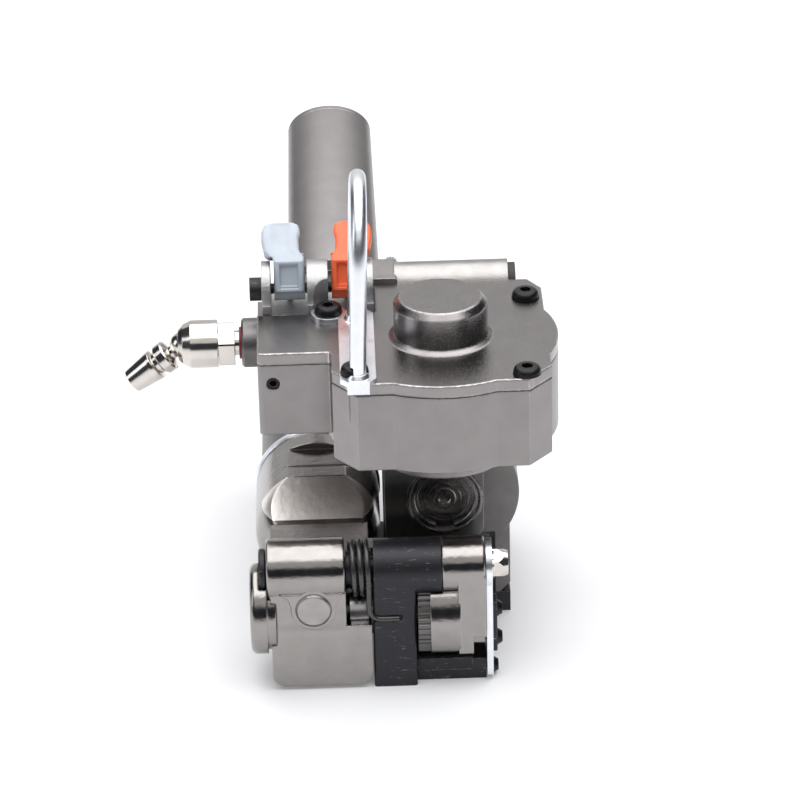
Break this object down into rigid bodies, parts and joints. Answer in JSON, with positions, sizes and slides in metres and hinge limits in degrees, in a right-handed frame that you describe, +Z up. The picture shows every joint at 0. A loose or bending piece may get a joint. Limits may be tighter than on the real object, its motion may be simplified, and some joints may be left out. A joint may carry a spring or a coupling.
{
  "type": "strapping tensioner tool",
  "caption": "Hand-held pneumatic strapping tool: a sprung rocker with an air motor drives a toothed feed wheel over a gripper, beside a friction-weld head, under a valve block with a grip.",
  "frame": {"origin": "on the base's bottom face, straight below the middle of the feed wheel's left part", "axes": "+Z up, +Y from the feed wheel towards the end of the handle, +X to the operator's right"},
  "size_m": [0.1613, 0.235, 0.187],
  "materials": {
    "body_metal": "satin titanium-grey coat over a fine cast skin",
    "dark_cast": "satin dark grey coat over a rougher cast skin",
    "plated_casting": "bright black-nickel plating",
    "black_steel": "black oxide, satin",
    "black_screw": "black oxide, satin",
    "black_spring": "black oxide, semi-gloss",
    "bright_zinc": "bright zinc plate",
    "nickel": "bright nickel plate",
    "tool_steel": "hardened and ground",
    "inner_steel": "turned",
    "vane_plastic": "moulded fibre composite",
    "bearing_steel": "dark, polished",
    "rough_cast": "bright rough cast skin",
    "grey_plastic": "fine matt",
    "orange_plastic": "fine matt",
    "red_seal": "smooth",
    "gasket_fibre": "fibre",
    "black_plastic": "matt"
  },
  "bodies": {
    "frame": {"base_plate": "black_steel", "base_arm": "black_steel", "gripper_plate": "black_steel", "lower_weld_jaw": "black_steel", "side_plate": "bright_zinc", "guide_strip": "black_steel", "side_screws": "black_screw", "pivot_pin": "black_steel", "pivot_nut": "nickel", "pivot_sleeve": "black_steel", "torsion_spring": "black_spring", "weld_housing": "dark_cast", "bearing_outer_ring": "bearing_steel", "weld_liner": "inner_steel", "weld_rear_cover": "dark_cast", "valve_body": "body_metal", "set_screw": "black_screw", "cover_gasket": "gasket_fibre", "top_cover": "body_metal", "cover_bolts": "black_screw", "hanger_plate": "bright_zinc", "hanger_bail": "bright_zinc", "lever_bracket": "rough_cast", "lever_pin": "black_steel", "handle_casting": "body_metal", "handle_end_plug": "black_plastic", "inlet_boss": "dark_cast", "inlet_seal": "red_seal", "inlet_nut": "nickel", "timer_housing": "body_metal", "timer_plug": "black_plastic", "press_spring": "inner_steel"},
    "rocker": {"rocker_casting": "plated_casting", "gear_cover": "plated_casting", "front_plug": "plated_casting", "feed_bearings": "bearing_steel", "tension_liner": "inner_steel", "motor_collar": "bright_zinc", "motor_barrel": "dark_cast", "motor_rear_cover": "dark_cast"},
    "feed": {"feed_wheel": "tool_steel", "feed_shaft": "tool_steel", "crown_gear": "tool_steel"},
    "tension_rotor": {"tension_rotor": "inner_steel", "tension_vanes": "vane_plastic"},
    "weld_rotor": {"weld_shaft": "inner_steel", "weld_rotor": "inner_steel", "weld_vanes": "vane_plastic", "bearing_inner_ring": "bearing_steel"},
    "press": {"press_piston": "inner_steel", "press_rod": "inner_steel", "cutter_blade": "tool_steel"},
    "weld_arm": {"vibration_arm": "tool_steel"},
    "tension_lever": {"tension_lever": "grey_plastic"},
    "weld_lever": {"weld_lever": "orange_plastic"},
    "tension_spool": {"tension_spool": "inner_steel"},
    "weld_spool": {"weld_spool": "inner_steel"},
    "swivel": {"swivel_body": "nickel"},
    "plug": {"air_plug": "nickel"},
    "timer_knob": {"timer_knob": "inner_steel"}
  },
  "joints": [
    {"name": "rocker_hinge", "type": "hinge", "parent": "frame", "child": "rocker", "pos_m": [0, -0.0035, 0.0453], "axis": [1, 0, 0], "range_deg": [0, 14], "stiffness_Nm_per_rad": 1.5, "springref_deg": -20.05},
    {"name": "feed_spin", "type": "hinge", "parent": "rocker", "child": "feed", "pos_m": [0, 0, 0.025], "axis": [1, 0, 0], "continuous": true},
    {"name": "tension_motor_spin", "type": "hinge", "parent": "rocker", "child": "tension_rotor", "pos_m": [-0.038, 0.07, 0.025], "axis": [0, 1, 0], "continuous": true},
    {"name": "weld_motor_spin", "type": "hinge", "parent": "frame", "child": "weld_rotor", "pos_m": [0.0095, 0.07, 0.053], "axis": [0, 1, 0], "continuous": true},
    {"name": "press_slide", "type": "slide", "parent": "frame", "child": "press", "axis": [0, 0, -1], "range_m": [0, 0.0025], "stiffness_N_per_m": 900, "springref_m": -0.006, "deforming": ["press_spring"]},
    {"name": "weld_arm_shake", "type": "slide", "parent": "press", "child": "weld_arm", "axis": [1, 0, 0], "range_m": [-0.0008, 0.0008]},
    {"name": "tension_lever_press", "type": "hinge", "parent": "frame", "child": "tension_lever", "pos_m": [-0.035, 0.073, 0.1225], "axis": [1, 0, 0], "range_deg": [-14, 0], "stiffness_Nm_per_rad": 0.4, "springref_deg": 8.59},
    {"name": "weld_lever_press", "type": "hinge", "parent": "frame", "child": "weld_lever", "pos_m": [-0.035, 0.073, 0.1225], "axis": [1, 0, 0], "range_deg": [-14, 0], "stiffness_Nm_per_rad": 0.4, "springref_deg": 8.59},
    {"name": "tension_spool_slide", "type": "slide", "parent": "frame", "child": "tension_spool", "axis": [0, 0, 1], "range_m": [-0.002, 0]},
    {"name": "weld_spool_slide", "type": "slide", "parent": "frame", "child": "weld_spool", "axis": [0, 0, 1], "range_m": [-0.002, 0]},
    {"name": "swivel_spin", "type": "hinge", "parent": "frame", "child": "swivel", "pos_m": [-0.078, 0.074, 0.1], "axis": [1, 0, 0], "continuous": true},
    {"name": "plug_tilt", "type": "hinge", "parent": "swivel", "child": "plug", "pos_m": [-0.0865, 0.074, 0.1], "axis": [0, 1, 0], "range_deg": [0, 73]},
    {"name": "timer_turn", "type": "hinge", "parent": "frame", "child": "timer_knob", "pos_m": [-0.0072, 0.104, 0.1145], "axis": [0, 1, 0], "range_deg": [0, 360]}
  ],
  "couplings": [
    {"joint": "tension_motor_spin", "follows": "feed_spin", "ratio": 3},
    {"joint": "tension_spool_slide", "follows": "tension_lever_press", "m_per_rad": 0.008},
    {"joint": "weld_spool_slide", "follows": "weld_lever_press", "m_per_rad": 0.008}
  ]
}
